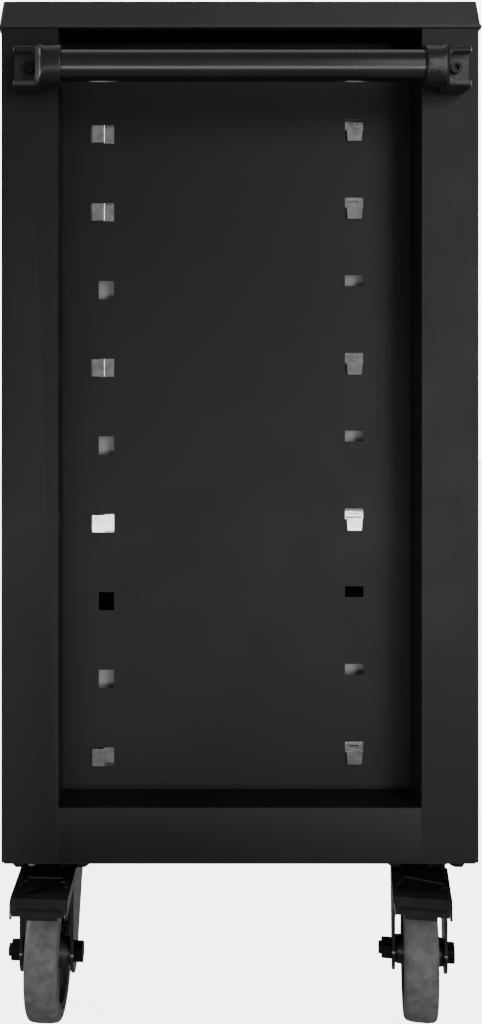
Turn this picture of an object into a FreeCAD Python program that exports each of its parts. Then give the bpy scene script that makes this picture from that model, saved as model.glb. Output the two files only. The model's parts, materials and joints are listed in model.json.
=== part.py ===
import FreeCAD, Part
import math
import os
import re
import Sketcher

# Rolling tool chest: folded steel cabinet with five drawers on ball slides, a worktop,
# a push handle on the right-hand end, two fixed and two braked swivel castors.
# Millimetres. The front of the chest faces -Y, the push handle is on +X, and Z is up.
# Formulas are written with the names of the sheet's cells and bound to that sheet.

SIZES = {
    # cabinet
    "centre_x": -24.0, "body_wide": 680.0, "body_deep": 460.0, "body_low": 158.0, "body_top": 962.0,
    "sheet": 1.2, "post_wide": 55.0, "recess_depth": 50.0, "post_lip": 35.0, "ledge_top": 211.0,
    "fold": 10.0, "web_lap": 12.0, "base_thick": 2.0, "base_inset": 2.0,
    # worktop
    "lid_wide": 686.0, "lid_deep": 466.0, "lid_high": 26.0, "lid_lip": 3.0, "lid_step": 1.0,
    "lid_draft": 8.0, "lid_round": 4.0, "lid_wall": 7.0, "lid_hollow": 18.0, "mat_margin": 18.0,
    "mat_drop": 4.0, "mat_thick": 3.0,
    # side slots and drawer slides
    "slot_low": 243.5, "slot_pitch": 78.3, "front_slot_y": -131.0, "front_slot_wide": 15.4,
    "front_slot_high": 18.3, "rear_slot_y": 118.5, "rear_slot_wide": 18.6, "rear_slot_high": 10.9,
    "rear_slot_rise": 9.5, "slide_front": -205.0, "slide_long": 400.0, "slide_metal": 1.4,
    "outer_half": 22.5, "outer_depth": 8.8, "middle_half": 19.8, "middle_gap": 3.0,
    "middle_depth": 6.6, "runner_half": 16.6, "runner_depth": 7.0, "hook_reach": 3.0,
    "hook_half": 8.6, "hook_long": 13.0, "tab_drop": 11.5,
    # drawers
    "drawer_wide": 552.2, "drawer_back": 190.0, "front_thick": 20.0, "front_wide": 574.0,
    "front_gap": 1.5, "slide_rise": 28.5, "floor_rise": 6.0, "wall_short": 18.0, "deep_wall": 165.0,
    "grip_high": 30.0, "grip_slope": 6.0, "grip_lip": 8.0, "drawer_metal": 1.0,
    "top_rail_low": 921.5, "bottom_rail_top": 212.0, "rail_fold": 20.0, "rail_hem": 7.0,
    # lock
    "lock_x": 240.0, "lock_z": 941.0, "plug_radius": 9.0, "plug_front": -234.0, "plug_back": -205.0,
    "collar_radius": 13.0, "barrel_radius": 11.0, "rod_radius": 3.0, "rod_back": 205.0,
    "crank_reach": 8.0, "crank_pin": 2.0, "bar_front": 206.0, "bar_thick": 3.0, "bar_low": 230.0,
    "bar_wide": 20.0, "bar_middle": 232.0, "lug_rise": 40.0, "lug_long": 13.0, "lug_lip": 10.0,
    "lug_wide": 12.0, "guide_low": 340.0, "guide_high": 700.0, "guide_tall": 12.0,
    # push handle
    "handle_out": 32.0, "handle_z": 917.0, "tube_radius": 15.0, "tube_bore": 13.5, "tube_half": 187.0,
    "bracket_in": 169.0, "bracket_out": 214.5, "bracket_half": 20.0, "bracket_collar": 19.0,
    "bracket_reach": 33.0, "bracket_corner": 5.0, "pocket_in": 193.0, "pocket_half": 14.0,
    "pocket_floor": 21.0, "screw_y": 201.5, "screw_radius": 3.0, "screw_head": 5.3, "screw_high": 6.0,
    "screw_socket": 5.0, "screw_nut": 10.0,
    # castors
    "castor_x": 280.0, "castor_y": 184.0, "plate_long": 100.0, "plate_wide": 80.0, "plate_thick": 3.0,
    "bolt_long_pitch": 80.0, "bolt_wide_pitch": 60.0, "bolt_radius": 4.0, "wheel_radius": 62.5,
    "wheel_half": 16.0, "rim_radius": 50.0, "hub_radius": 16.0, "hub_half": 23.0, "axle_radius": 6.0,
    "axle_flats": 19.0, "axle_head": 7.5, "axle_nut": 10.0, "axle_spare": 3.0, "trail": 38.0,
    "front_turn": -3.0, "rear_turn": -10.0, "leg_inside": 23.3, "leg_thick": 3.0, "leg_end": 19.0,
    "crown_back": 24.0, "crown_front": 34.0, "leg_root": 16.0, "bracket_leg_half": 30.0,
    "race_radius": 32.0, "race_low": 146.3, "crown_top": 146.0, "crown_low": 137.3,
    "king_radius": 6.0, "king_head": 11.0, "fork_top": 140.3, "pedal_half": 27.0,
    "pedal_thick": 2.5, "pedal_top": 146.0, "pedal_back": 40.0, "pedal_nose": 107.0, "pedal_drop": 18.5,
    "pedal_pin": 4.0, "pedal_pin_x": 45.0, "pedal_pin_z": 133.0, "pedal_slope": 3.5, "flange_start": 62.0,
    "lug_plate": 3.0, "lug_gap": 0.5, "lug_end": 66.0, "shoe_half": 15.0, "shoe_x": 83.0,
    "shoe_knee": 24.5, "shoe_drop": 32.0,
    "running_gap": 0.05,
}
DRAWERS = ((1, 1), (2, 2), (3, 4), (5, 6), (7, 9))   # first and last slot row that each drawer fills
ROWS = 9
PLANES = {"X": "YZ_Plane", "Y": "XZ_Plane", "Z": "XY_Plane"}

doc = FreeCAD.newDocument("ToolChest")
subparts = []


# ---------------------------------------------------------------- shared drawing helpers
def make_sheet():
    sheet = doc.addObject("Spreadsheet::Sheet", "Sizes")
    for row, (name, value) in enumerate(SIZES.items(), 1):
        sheet.set(f"A{row}", name)
        sheet.set(f"B{row}", str(value))
        sheet.setAlias(f"B{row}", name)
    doc.recompute()


def bound(formula):
    """A formula in cell names becomes an expression on the sheet."""
    return re.sub(r"[a-z][a-z_]+", lambda word: "Sizes." + word.group(), str(formula))


def new_body(name, x="0", y="0", z="0", turn=None):
    """An empty body whose own origin stands at x, y, z from the middle of the cabinet, turned about Z."""
    body = doc.addObject("PartDesign::Body", name)
    if turn:
        body.setExpression("Placement.Rotation.Angle", bound(turn))
    body.setExpression("Placement.Base.x", bound(f"centre_x + {x}"))
    body.setExpression("Placement.Base.y", bound(y))
    body.setExpression("Placement.Base.z", bound(z))
    return body


def add_polygon(sketch, points):
    first = sketch.GeometryCount
    count = len(points)
    ring = [FreeCAD.Vector(10 * math.cos(math.tau * i / count), 10 * math.sin(math.tau * i / count), 0)
            for i in range(count)]
    for i in range(count):
        sketch.addGeometry(Part.LineSegment(ring[i], ring[(i + 1) % count]))
    for i in range(count):
        sketch.addConstraint(Sketcher.Constraint("Coincident", first + i, 2, first + (i + 1) % count, 1))
    for i, (across, up) in enumerate(points):
        for kind, start, formula in (("DistanceX", ring[i].x, across), ("DistanceY", ring[i].y, up)):
            number = sketch.addConstraint(Sketcher.Constraint(kind, -1, 1, first + i, 1, start))
            sketch.setExpression(f"Constraints[{number}]", bound(formula))


def add_circle(sketch, across, up, radius):
    first = sketch.addGeometry(Part.Circle(FreeCAD.Vector(5, 5, 0), FreeCAD.Vector(0, 0, 1), 5))
    for kind, formula in (("DistanceX", across), ("DistanceY", up)):
        number = sketch.addConstraint(Sketcher.Constraint(kind, -1, 1, first, 3, 5.0))
        sketch.setExpression(f"Constraints[{number}]", bound(formula))
    number = sketch.addConstraint(Sketcher.Constraint("Radius", first, 5.0))
    sketch.setExpression(f"Constraints[{number}]", bound(radius))


def draw(body, axis, start, shapes):
    """A sketch square to one axis. Its points are X,Y for Z, X,Z for Y, and Y,Z for X."""
    sketch = body.newObject("Sketcher::SketchObject", "Outline")
    plane = next(item for item in body.Origin.OriginFeatures if item.Role == PLANES[axis])
    sketch.AttachmentSupport = [(plane, "")]
    sketch.MapMode = "FlatFace"
    sign = "-" if axis == "Y" else ""
    sketch.setExpression("AttachmentOffset.Base.z", bound(f"{sign}({start})"))
    for shape in shapes:
        if shape[0] == "round":
            add_circle(sketch, *shape[1:])
        else:
            add_polygon(sketch, shape)
    return sketch


def grow(body, axis, low, high, *shapes, draft=None):
    """Pad the shapes along an axis, from low to high."""
    pad = body.newObject("PartDesign::Pad", "Pad")
    pad.Profile = draw(body, axis, low, shapes)
    pad.setExpression("Length", bound(f"({high}) - ({low})"))
    pad.Reversed = axis == "Y"
    if draft:
        pad.setExpression("TaperAngle", bound(draft))
    return pad


def cut(body, axis, low, high, *shapes):
    """Pocket the shapes along an axis, from low to high."""
    pocket = body.newObject("PartDesign::Pocket", "Pocket")
    pocket.Profile = draw(body, axis, low, shapes)
    pocket.setExpression("Length", bound(f"({high}) - ({low})"))
    pocket.Reversed = axis != "Y"
    return pocket


def spin(body, axis, section):
    """Turn a half section about the body's own Y or Z axis."""
    turned = body.newObject("PartDesign::Revolution", "Turned")
    sketch = draw(body, "X" if axis == "Y" else "Y", "0", [section])
    turned.Profile = sketch
    turned.ReferenceAxis = (sketch, ["H_Axis" if axis == "Y" else "V_Axis"])
    turned.Angle = 360
    return turned


def rounded(body, radius, keep):
    """Fillet the edges of the body so far that pass the test."""
    doc.recompute()
    base = body.Tip
    edges = [f"Edge{i}" for i, edge in enumerate(base.Shape.Edges, 1) if keep(edge)]
    fillet = body.newObject("PartDesign::Fillet", "Round")
    fillet.Base = (base, edges)
    fillet.setExpression("Radius", bound(radius))


def rectangle(x_low, x_high, y_low, y_high):
    return [(x_low, y_low), (x_high, y_low), (x_high, y_high), (x_low, y_high)]


def block(across, up, half_across, half_up):
    """A rectangle about a centre."""
    return rectangle(f"{across} - {half_across}", f"{across} + {half_across}",
                     f"{up} - {half_up}", f"{up} + {half_up}")


def hexagon(across, up, flats):
    turns = [math.tau * (i + 0.5) / 6 for i in range(6)]
    corner = [(math.cos(turn) / math.sqrt(3), math.sin(turn) / math.sqrt(3)) for turn in turns]
    return [(f"{across} + {flats} * {dx:.6f}", f"{up} + {flats} * {dy:.6f}") for dx, dy in corner]


def side_span(side, low, high):
    """The low and high ends along X of something that lies low to high out from the middle."""
    return (low, high) if side > 0 else (f"-({high})", f"-({low})")


def keep_part(piece, name):
    piece.Label = name
    subparts.append(piece)


def keep_group(pieces, name):
    group = doc.addObject("Part::Compound", name)
    group.Links = pieces
    keep_part(group, name)


# ---------------------------------------------------------------- cabinet
def post(name, side, end):
    """Folded corner post: open box section, with its lip towards the drawer opening."""
    body = new_body(name)
    wall, deep = "body_wide/2", "body_deep/2"
    section = [(f"{wall} - recess_depth", f"{deep} - post_lip"), (f"{wall} - recess_depth", deep),
               (wall, deep), (wall, f"{deep} - post_wide"),
               (f"{wall} - recess_depth", f"{deep} - post_wide"),
               (f"{wall} - recess_depth", f"{deep} - post_wide + sheet"),
               (f"{wall} - sheet", f"{deep} - post_wide + sheet"), (f"{wall} - sheet", f"{deep} - sheet"),
               (f"{wall} - recess_depth + sheet", f"{deep} - sheet"),
               (f"{wall} - recess_depth + sheet", f"{deep} - post_lip")]
    grow(body, "Z", "body_low", "body_top", [(f"{side}*({x})", f"{end}*({y})") for x, y in section])
    if side > 0:
        cut(body, "X", "body_wide/2 - 2*sheet", "body_wide/2 + sheet",
            ("round", f"{end}*screw_y", "handle_z", "screw_radius"))
    keep_part(body, name)


def side_panel(name, side):
    """Recessed end panel: web with two columns of slots, a ledge, and the rail under it."""
    body = new_body(name)
    wall, web = "body_wide/2", "body_wide/2 - recess_depth"
    section = [(f"{web} - sheet", "ledge_top - sheet"), (f"{web} - sheet", "body_top"), (web, "body_top"),
               (web, "ledge_top"), (wall, "ledge_top"), (wall, "body_low"),
               (f"{wall} - fold", "body_low"), (f"{wall} - fold", "body_low + sheet"),
               (f"{wall} - sheet", "body_low + sheet"), (f"{wall} - sheet", "ledge_top - sheet")]
    half = "(body_deep/2 - post_wide)"
    grow(body, "Y", f"-{half}", half, [(f"{side}*({x})", z) for x, z in section])
    low, high = side_span(side, f"{web} - sheet", web)
    grow(body, "X", low, high, rectangle(f"-{half} - web_lap", f"{half} + web_lap",
                                         "ledge_top - sheet", "body_top"))
    slots = []
    for row in range(ROWS):
        height = f"slot_low + {row}*slot_pitch"
        slots.append(block("front_slot_y", height, "front_slot_wide/2", "front_slot_high/2"))
        slots.append(block("rear_slot_y", f"{height} + rear_slot_rise",
                           "rear_slot_wide/2", "rear_slot_high/2"))
    cut(body, "X", low, high, *slots)
    keep_part(body, name)


def back_panel():
    """Rear sheet between the posts, with two loops that guide the lock bar."""
    body = new_body("back_panel")
    half = "(body_wide/2 - recess_depth)"
    grow(body, "Y", "body_deep/2 - sheet", "body_deep/2", rectangle(f"-{half}", half, "body_low", "body_top"))
    left, right = "bar_middle - bar_wide/2 - 0.7", "bar_middle + bar_wide/2 + 0.7"
    front, back = "bar_front - 2", "body_deep/2 - sheet"
    loop = [(f"{left} - 1.5", back), (f"{left} - 1.5", front), (f"{right} + 1.5", front),
            (f"{right} + 1.5", back), (right, back), (right, f"{front} + 1.5"),
            (left, f"{front} + 1.5"), (left, back)]
    for height in ("guide_low", "guide_high"):
        grow(body, "Z", height, f"{height} + guide_tall", loop)
    keep_part(body, "back_panel")


def base_pan():
    """Floor of the cabinet, with the holes for the castor bolts."""
    body = new_body("base_pan")
    grow(body, "Z", "body_low - base_thick", "body_low",
         rectangle("-body_wide/2 + base_inset", "body_wide/2 - base_inset",
                   "-body_deep/2 + base_inset", "body_deep/2 - base_inset"))
    cut(body, "Z", "body_low - 2*base_thick", "body_low + base_thick",
        *[("round", x, y, "bolt_radius") for x, y in bolt_places()])
    keep_part(body, "base_pan")


def front_rail(name, low, high, low_fold):
    """Folded cross rail of the drawer opening, open to the inside."""
    body = new_body(name)
    front, back = "-body_deep/2", "-body_deep/2 + rail_fold"
    section = [(front, low), (f"{front} + {low_fold}", low), (f"{front} + {low_fold}", f"{low} + sheet"),
               (f"{front} + sheet", f"{low} + sheet"),
               (f"{front} + sheet", f"{high} - sheet"), (back, f"{high} - sheet"), (back, high),
               (front, high)]
    half = "(body_wide/2 - recess_depth)"
    grow(body, "X", f"-{half}", half, section)
    if name == "front_top_rail":
        cut(body, "Y", "-body_deep/2 - sheet", "-body_deep/2 + 2*sheet",
            ("round", "lock_x", "lock_z", "barrel_radius"))
    keep_part(body, name)


def worktop():
    """Moulded worktop with a stepped lower lip, drafted sides and a sunk top, hollow underneath."""
    body = new_body("worktop")
    wide, deep = "lid_wide/2", "lid_deep/2"
    grow(body, "Z", "body_top", "body_top + lid_lip", rectangle(f"-{wide}", wide, f"-{deep}", deep))
    grow(body, "Z", "body_top + lid_lip", "body_top + lid_high",
         rectangle(f"-{wide} + lid_step", f"{wide} - lid_step", f"-{deep} + lid_step", f"{deep} - lid_step"),
         draft="-lid_draft")
    rounded(body, "lid_round", is_lid_corner)
    cut(body, "Z", "body_top + lid_high - mat_drop", "body_top + 2*lid_high",
        rectangle(f"-{wide} + mat_margin", f"{wide} - mat_margin",
                  f"-{deep} + mat_margin", f"{deep} - mat_margin"))
    cut(body, "Z", "body_top - lid_lip", "body_top + lid_hollow",
        rectangle(f"-{wide} + lid_wall", f"{wide} - lid_wall", f"-{deep} + lid_wall", f"{deep} - lid_wall"))
    keep_part(body, "worktop")


def is_lid_corner(edge):
    """The short edges that run up the four corners of the worktop."""
    ends = [vertex.Point for vertex in edge.Vertexes]
    return len(ends) == 2 and abs(ends[0].z - ends[1].z) > 2 and ends[0].distanceToPoint(ends[1]) < 40


def top_mat():
    """Ribbed rubber mat that lies in the sunk top."""
    body = new_body("top_mat")
    floor = "body_top + lid_high - mat_drop"
    grow(body, "Z", floor, f"{floor} + mat_thick",
         rectangle("-lid_wide/2 + mat_margin + 0.5", "lid_wide/2 - mat_margin - 0.5",
                   "-lid_deep/2 + mat_margin + 0.5", "lid_deep/2 - mat_margin - 0.5"))
    keep_part(body, "top_mat")


# ---------------------------------------------------------------- push handle
def handle_tube():
    body = new_body("handle_tube")
    x = "body_wide/2 + handle_out"
    grow(body, "Y", "-tube_half", "tube_half", ("round", x, "handle_z", "tube_radius"),
         ("round", x, "handle_z", "tube_bore"))
    keep_part(body, "handle_tube")


def handle_bracket(name, end):
    """Cast bracket: a collar round the tube's end and a pocket, open outwards, over the fixing screw."""
    body = new_body(name)
    wall, axis = "body_wide/2", "body_wide/2 + handle_out"
    low, high = side_span(end, "bracket_in", "tube_half + 4")
    grow(body, "Y", low, high, ("round", axis, "handle_z", "bracket_collar"))
    low, high = side_span(end, "bracket_in + 14", "bracket_out")
    grow(body, "Y", low, high,
         [(wall, "handle_z - bracket_half"),
          (f"{wall} + bracket_reach - bracket_corner", "handle_z - bracket_half"),
          (f"{wall} + bracket_reach", "handle_z - bracket_half + bracket_corner"),
          (f"{wall} + bracket_reach", "handle_z + bracket_half - bracket_corner"),
          (f"{wall} + bracket_reach - bracket_corner", "handle_z + bracket_half"),
          (wall, "handle_z + bracket_half")])
    low, high = side_span(end, "bracket_in + 5", "bracket_out - 2")
    grow(body, "Y", low, high, rectangle(wall, f"{axis} - 6", "handle_z - 14", "handle_z + 14"))
    low, high = side_span(end, "bracket_in - 1", "tube_half")
    cut(body, "Y", low, high, ("round", axis, "handle_z", "tube_radius"))
    y_low, y_high = side_span(end, "pocket_in", "bracket_out + 1")
    cut(body, "X", f"{wall} + pocket_floor", f"{wall} + 2*bracket_reach",
        rectangle(y_low, y_high, "handle_z - pocket_half", "handle_z + pocket_half"))
    cut(body, "X", f"{wall} - 1", f"{wall} + pocket_floor + 1",
        ("round", f"{end}*screw_y", "handle_z", "screw_radius"))
    keep_part(body, name)


def handle_screws():
    """Socket head screw and backing nut at each bracket."""
    screws = []
    for end in (-1, 1):
        body = new_body("handle_screw")
        wall, y = "body_wide/2", f"{end}*screw_y"
        grow(body, "X", f"{wall} - 14", f"{wall} + pocket_floor", ("round", y, "handle_z", "screw_radius"))
        grow(body, "X", f"{wall} + pocket_floor", f"{wall} + pocket_floor + screw_high",
             ("round", y, "handle_z", "screw_head"))
        cut(body, "X", f"{wall} + pocket_floor + screw_high/2", f"{wall} + pocket_floor + 2*screw_high",
            hexagon(y, "handle_z", "screw_socket"))
        grow(body, "X", f"{wall} - sheet - screw_nut/2", f"{wall} - sheet",
             hexagon(y, "handle_z", "screw_nut"))
        screws.append(body)
    keep_group(screws, "handle_screws")


# ---------------------------------------------------------------- drawers and slides
def row_height(row):
    """Height of the front slot of a row, counted from the top."""
    return f"(slot_low + {ROWS - row}*slot_pitch)"


def slide_rail(body, side, height, web_at, half, depth, opening):
    """Channel of a slide: web_at is where its web's outer face stands, opening is where the lips point."""
    far = f"{web_at} + {opening}*slide_metal"
    tip = f"{web_at} + {opening}*({depth})"
    section = [(web_at, f"{height} - {half}"), (tip, f"{height} - {half}"),
               (tip, f"{height} - {half} + slide_metal"), (far, f"{height} - {half} + slide_metal"),
               (far, f"{height} + {half} - slide_metal"), (tip, f"{height} + {half} - slide_metal"),
               (tip, f"{height} + {half}"), (web_at, f"{height} + {half}")]
    grow(body, "Y", "slide_front", "slide_front + slide_long", [(f"{side}*({x})", z) for x, z in section])


def cabinet_rail(side, row):
    """Outer slide member, with a front hook and a rear tab that pass through the panel's slots."""
    body = new_body("cabinet_rail")
    height, web = row_height(row), "body_wide/2 - recess_depth"
    inner, outer = f"{web} - sheet", f"{web} + hook_reach"
    slide_rail(body, side, height, inner, "outer_half", "outer_depth", -1)
    bend = "front_slot_y - 3"
    hook = [(f"{inner} - slide_metal", f"{bend} + slide_metal"), (outer, f"{bend} + slide_metal"),
            (f"{outer} + 0.6", f"{bend} - 1"), (outer, f"{bend} - hook_long + 4"),
            (f"{outer} - 1.4", f"{bend} - hook_long"), (f"{outer} - 2.4", f"{bend} - hook_long + 1"),
            (f"{outer} - slide_metal", f"{bend} - hook_long + 4.5"), (f"{outer} - slide_metal", bend),
            (f"{inner} - slide_metal", bend)]
    grow(body, "Z", f"{height} - hook_half", f"{height} + hook_half", [(f"{side}*({x})", y) for x, y in hook])
    low, high = side_span(side, f"{inner} - slide_metal", outer)
    tab = f"({height} + rear_slot_rise - rear_slot_high/2 + 0.6)"
    grow(body, "X", low, high, rectangle("rear_slot_y - 8", "rear_slot_y + 8", tab, f"{tab} + slide_metal"))
    tab_low, tab_high = side_span(side, f"{outer} - slide_metal", outer)
    grow(body, "X", tab_low, tab_high,
         [("rear_slot_y - 7", f"{tab} - tab_drop"), ("rear_slot_y - 8", f"{tab} + slide_metal"),
          ("rear_slot_y + 8", f"{tab} + slide_metal"), ("rear_slot_y + 7", f"{tab} - tab_drop")])
    web_low, web_high = side_span(side, f"{inner} - 2*slide_metal", f"{inner} + 0.1")
    cut(body, "X", web_low, web_high,
        rectangle(f"{bend} + slide_metal", f"{bend} + 12", f"{height} - hook_half", f"{height} + hook_half"),
        rectangle("rear_slot_y - 5", "rear_slot_y + 4", f"{tab} + 5", f"{tab} + 6.8"))
    return body


def cabinet_rails(name, side):
    keep_group([cabinet_rail(side, last) for first, last in DRAWERS], name)


def middle_rails(number, row):
    rails = []
    for side in (-1, 1):
        body = new_body("middle_rail")
        slide_rail(body, side, row_height(row), "body_wide/2 - recess_depth - sheet - middle_gap",
                   "middle_half", "middle_depth", -1)
        rails.append(body)
    keep_group(rails, f"drawer_{number}_middle_rails")


def runners(number, row):
    rails = []
    for side in (-1, 1):
        body = new_body("runner")
        slide_rail(body, side, row_height(row), "drawer_wide/2", "runner_half", "runner_depth", 1)
        rails.append(body)
    keep_group(rails, f"drawer_{number}_runners")


def drawer_box(number, first, last):
    """Folded steel tray, with a lug behind it that the lock bar catches."""
    name = f"drawer_{number}_box"
    body = new_body(name)
    floor = f"({row_height(last)} - slide_rise + floor_rise)"
    units = last - first + 1
    wall = "deep_wall" if units == 3 else f"({units}*slot_pitch - wall_short)"
    front = "(-body_deep/2 + front_thick)"
    grow(body, "Z", floor, f"{floor} + {wall}",
         rectangle("-drawer_wide/2", "drawer_wide/2", front, "drawer_back"))
    cut(body, "Z", f"{floor} + drawer_metal", f"{floor} + {wall} + 1",
        rectangle("-drawer_wide/2 + drawer_metal", "drawer_wide/2 - drawer_metal",
                  f"{front} + drawer_metal", "drawer_back - drawer_metal"))
    lug = f"({floor} + lug_rise)"
    grow(body, "X", "bar_middle - lug_wide/2", "bar_middle + lug_wide/2",
         [("drawer_back - drawer_metal", lug), ("drawer_back - drawer_metal", f"{lug} + 1.5"),
          ("drawer_back + lug_long", f"{lug} + 1.5"), ("drawer_back + lug_long", f"{lug} - lug_lip"),
          ("drawer_back + lug_long - 1.5", f"{lug} - lug_lip"), ("drawer_back + lug_long - 1.5", lug)])
    keep_part(body, name)


def drawer_front(number, first, last):
    """Folded drawer front: flat face, a finger channel along its top and a turned-down lip."""
    name = f"drawer_{number}_front"
    body = new_body(name)
    low = f"({row_height(last)} - slide_rise + front_gap)"
    high = f"({row_height(last)} - slide_rise + {last - first + 1}*slot_pitch - front_gap)"
    face, back = "-body_deep/2", "-body_deep/2 + front_thick"
    channel = f"{back} - sheet"
    section = [(face, low), (face, f"{high} - grip_high"), (channel, f"{high} - grip_high + grip_slope"),
               (channel, f"{high} - sheet"), (f"{face} + sheet", f"{high} - sheet"),
               (f"{face} + sheet", f"{high} - grip_lip"), (face, f"{high} - grip_lip"), (face, high),
               (back, high), (back, f"{high} - grip_high + grip_slope - sheet"),
               (f"{face} + sheet", f"{high} - grip_high - sheet"), (f"{face} + sheet", f"{low} + sheet"),
               (back, f"{low} + sheet"), (back, low)]
    grow(body, "X", "-front_wide/2", "front_wide/2", section)
    cap = [(face, low), (face, f"{high} - grip_high"), (channel, f"{high} - grip_high + grip_slope"),
           (channel, f"{high} - sheet"), (f"{face} + sheet", f"{high} - sheet"),
           (f"{face} + sheet", f"{high} - grip_lip"), (face, f"{high} - grip_lip"), (face, high),
           (back, high), (back, low)]
    grow(body, "X", "-front_wide/2", "-front_wide/2 + sheet", cap)
    grow(body, "X", "front_wide/2 - sheet", "front_wide/2", cap)
    keep_part(body, name)


# ---------------------------------------------------------------- lock
def lock_housing():
    """Collar and barrel of the lock, fixed in the top rail."""
    body = new_body("lock_housing")
    bore = ("round", "lock_x", "lock_z", "plug_radius + running_gap")
    grow(body, "Y", "-body_deep/2 - 3", "-body_deep/2", ("round", "lock_x", "lock_z", "collar_radius"), bore)
    grow(body, "Y", "-body_deep/2", "plug_back", ("round", "lock_x", "lock_z", "barrel_radius"), bore)
    keep_part(body, "lock_housing")


def lock_plug():
    """Plug with the key slot."""
    body = new_body("lock_plug")
    grow(body, "Y", "plug_front", "plug_back", ("round", "lock_x", "lock_z", "plug_radius"))
    cut(body, "Y", "plug_front - 1", "plug_front + 9", block("lock_x", "lock_z", "1", "4.5"))
    keep_part(body, "lock_plug")


def lock_rod():
    """Rod from the plug to the rear, with the crank that lifts the lock bar."""
    body = new_body("lock_rod")
    reach = f"crank_reach*{math.sqrt(0.5):.6f}"
    pin_x, pin_z = f"lock_x - {reach}", f"lock_z - {reach}"
    grow(body, "Y", "plug_back", "rod_back", ("round", "lock_x", "lock_z", "rod_radius"))
    grow(body, "Y", "rod_back - 3", "rod_back",
         [("lock_x - 4", "lock_z + 4"), (f"{pin_x} - 3.5", pin_z), (pin_x, f"{pin_z} - 3.5"),
          ("lock_x + 4", "lock_z - 4"), ("lock_x + 4", "lock_z + 4")])
    grow(body, "Y", "rod_back - 1", "bar_front + bar_thick + 2", ("round", pin_x, pin_z, "crank_pin"))
    keep_part(body, "lock_rod")


def lock_bar():
    """Upright flat bar with one hook for each drawer."""
    body = new_body("lock_bar")
    back = "bar_front + bar_thick"
    pin_z = f"lock_z - crank_reach*{math.sqrt(0.5):.6f}"
    grow(body, "Y", "bar_front", back,
         rectangle("bar_middle - bar_wide/2", "bar_middle + bar_wide/2", "bar_low", "lock_z + 3"))
    cut(body, "Y", "bar_front - 1", f"{back} + 1",
        rectangle("lock_x - crank_reach - crank_pin - 1", "lock_x - 3",
                  f"{pin_z} - crank_pin - 0.6", f"{pin_z} + crank_pin + 0.6"))
    for first, last in DRAWERS:
        lug = f"({row_height(last)} - slide_rise + floor_rise + lug_rise)"
        grow(body, "X", "bar_middle - lug_wide/2", "bar_middle + lug_wide/2",
             [("bar_front - 10.5", f"{lug} - 25"), ("bar_front", f"{lug} - 25"),
              ("bar_front", f"{lug} - 22"), ("bar_front - 7.5", f"{lug} - 22"),
              ("bar_front - 7.5", f"{lug} - 12.5"), ("bar_front - 10.5", f"{lug} - 12.5")])
    keep_part(body, "lock_bar")


# ---------------------------------------------------------------- castors
def bolt_places():
    return [(f"{side}*castor_x + {along}*bolt_long_pitch/2", f"{end}*castor_y + {across}*bolt_wide_pitch/2")
            for side in (-1, 1) for end in (-1, 1) for along in (-1, 1) for across in (-1, 1)]


def castor_bolts():
    """Hex bolt, head below and nut above, at each corner of each castor plate."""
    bolts = []
    under, above = "body_low - base_thick - plate_thick", "body_low"
    for x, y in bolt_places():
        body = new_body("castor_bolt")
        grow(body, "Z", f"{under} - 4", f"{above} + 10", ("round", x, y, "bolt_radius"))
        grow(body, "Z", f"{under} - 5.3", under, hexagon(x, y, "13"))
        grow(body, "Z", above, f"{above} + 6.5", hexagon(x, y, "13"))
        bolts.append(body)
    keep_group(bolts, "castor_bolts")


def castor_plate(body, side, end):
    top = "body_low - base_thick"
    grow(body, "Z", f"{top} - plate_thick", top,
         block(f"{side}*castor_x", f"{end}*castor_y", "plate_long/2", "plate_wide/2"))
    rounded(body, "8", lambda edge: abs(edge.tangentAt(edge.FirstParameter).z) > 0.99)
    cut(body, "Z", f"{top} - 2*plate_thick", f"{top} + 1",
        *[("round", f"{side}*castor_x + {along}*bolt_long_pitch/2",
           f"{end}*castor_y + {across}*bolt_wide_pitch/2", "bolt_radius")
          for along in (-1, 1) for across in (-1, 1)])


def swivel_plates():
    """Top plate, upper race and king pin of each swivel castor."""
    plates = []
    for end in (-1, 1):
        body = new_body("swivel_plate")
        castor_plate(body, 1, end)
        middle = ("castor_x", f"{end}*castor_y")
        grow(body, "Z", "race_low", "body_low - base_thick - 1", ("round", *middle, "race_radius"))
        grow(body, "Z", "crown_low - 3", "race_low + 1", ("round", *middle, "king_radius"))
        grow(body, "Z", "crown_low - 6", "crown_low - 2.5", ("round", *middle, "king_head"))
        plates.append(body)
    keep_group(plates, "swivel_plates")


def swivel_fork(name, end, turn):
    """Pressed fork: lower race, crown and two legs that trail to the axle."""
    body = new_body(name, x="castor_x", y=f"{end}*castor_y", turn=turn)
    hole = ("round", "0", "0", "king_radius + running_gap")
    grow(body, "Z", "crown_low", "crown_top", ("round", "0", "0", "race_radius - 2"), hole)
    grow(body, "Z", "crown_low", "fork_top",
         rectangle("-crown_back", "crown_front", "-leg_inside - leg_thick", "leg_inside + leg_thick"), hole)
    leg = [("-crown_back", "fork_top"), ("-crown_back", "fork_top - leg_root"),
           ("trail - leg_end + 1", "wheel_radius - 4"), ("trail + leg_end - 1", "wheel_radius + 4"),
           ("pedal_pin_x + 2.5*pedal_pin", "pedal_pin_z - 2*pedal_pin"),
           ("pedal_pin_x + 2*pedal_pin", "pedal_pin_z + 5.5"), ("crown_front", "fork_top")]
    for low, high in (("leg_inside", "leg_inside + leg_thick"), ("-leg_inside - leg_thick", "-leg_inside")):
        grow(body, "Y", low, high, leg)
        grow(body, "Y", low, high, ("round", "trail", "wheel_radius", "leg_end"))
    across = "(leg_inside + 2*leg_thick)"
    cut(body, "Y", f"-{across}", across, ("round", "trail", "wheel_radius", "axle_radius"),
        ("round", "pedal_pin_x", "pedal_pin_z", "pedal_pin + running_gap"))
    keep_part(body, name)


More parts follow.
